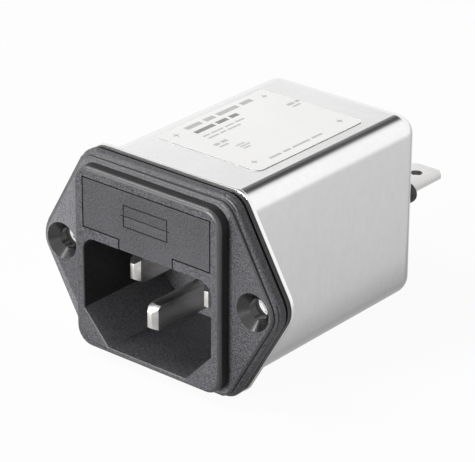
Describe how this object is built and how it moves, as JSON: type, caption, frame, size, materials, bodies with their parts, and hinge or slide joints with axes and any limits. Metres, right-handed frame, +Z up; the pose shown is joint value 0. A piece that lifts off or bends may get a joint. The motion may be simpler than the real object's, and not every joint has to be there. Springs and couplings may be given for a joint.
{
  "type": "fused power entry module",
  "caption": "Panel power inlet with earthed three-pin socket, fuse drawer over it, screw ears, and a mains filter in a deep drawn metal can with blade tabs at the rear.",
  "frame": {"origin": "middle of the two screw holes, on the rear face of the can's flange, which seats on the panel", "axes": "+X across the panel to the line pin's side, +Y into the equipment along the can, +Z up; the socket and the drawer face -Y"},
  "size_m": [0.0446, 0.0569, 0.0314],
  "materials": {
    "moulding": "finely textured dark grey thermoplastic",
    "frame_plastic": "smooth near-black thermoplastic",
    "can_metal": "bright plated deep-drawn steel",
    "pin_metal": "nickel-plated brass",
    "contact_metal": "spring brass strip",
    "fuse_glass": "clear glass tube",
    "cap_metal": "nickel-plated brass cap",
    "tab_metal": "tin-plated brass strip",
    "label_paper": "bare white adhesive label",
    "bush_plastic": "black insulating moulding",
    "liner_card": "insulating pressboard",
    "board_laminate": "bare resin laminate",
    "pale_plastic": "natural nylon",
    "core_ferrite": "sintered ferrite",
    "copper_wire": "enamelled copper wire",
    "cap_plastic": "flame-retardant plastic box",
    "cap_lacquer": "lacquered ceramic disc",
    "resistor_lacquer": "lacquered ceramic rod",
    "lead_metal": "tinned copper wire"
  },
  "bodies": {
    "housing": {"inlet_body": "moulding", "rear_frame": "frame_plastic", "filter_can": "can_metal", "line_pin": "pin_metal", "neutral_pin": "pin_metal", "earth_pin": "pin_metal", "line_front_contact": "contact_metal", "neutral_front_contact": "contact_metal", "line_rear_contact": "contact_metal", "neutral_rear_contact": "contact_metal", "earth_strap": "tab_metal", "label": "label_paper", "line_tab": "tab_metal", "neutral_tab": "tab_metal", "line_bush": "bush_plastic", "neutral_bush": "bush_plastic", "earth_tab": "tab_metal", "earth_rivet": "tab_metal", "insulating_liner": "liner_card", "circuit_board": "board_laminate", "choke_base": "pale_plastic", "choke_core": "core_ferrite", "line_winding": "copper_wire", "neutral_winding": "copper_wire", "x_capacitor": "cap_plastic", "line_y_capacitor": "cap_lacquer", "neutral_y_capacitor": "cap_lacquer", "bleed_resistor": "resistor_lacquer", "line_wire_in": "lead_metal", "neutral_wire_in": "lead_metal", "line_wire_out": "lead_metal", "neutral_wire_out": "lead_metal"},
    "drawer": {"fuse_drawer": "moulding", "line_fuse_tube": "fuse_glass", "neutral_fuse_tube": "fuse_glass", "line_fuse_front_cap": "cap_metal", "line_fuse_rear_cap": "cap_metal", "neutral_fuse_front_cap": "cap_metal", "neutral_fuse_rear_cap": "cap_metal", "line_fuse_wire": "cap_metal", "neutral_fuse_wire": "cap_metal"}
  },
  "joints": [
    {"name": "drawer_slide", "type": "slide", "parent": "housing", "child": "drawer", "axis": [0, -1, 0], "range_m": [0, 0.02]}
  ]
}
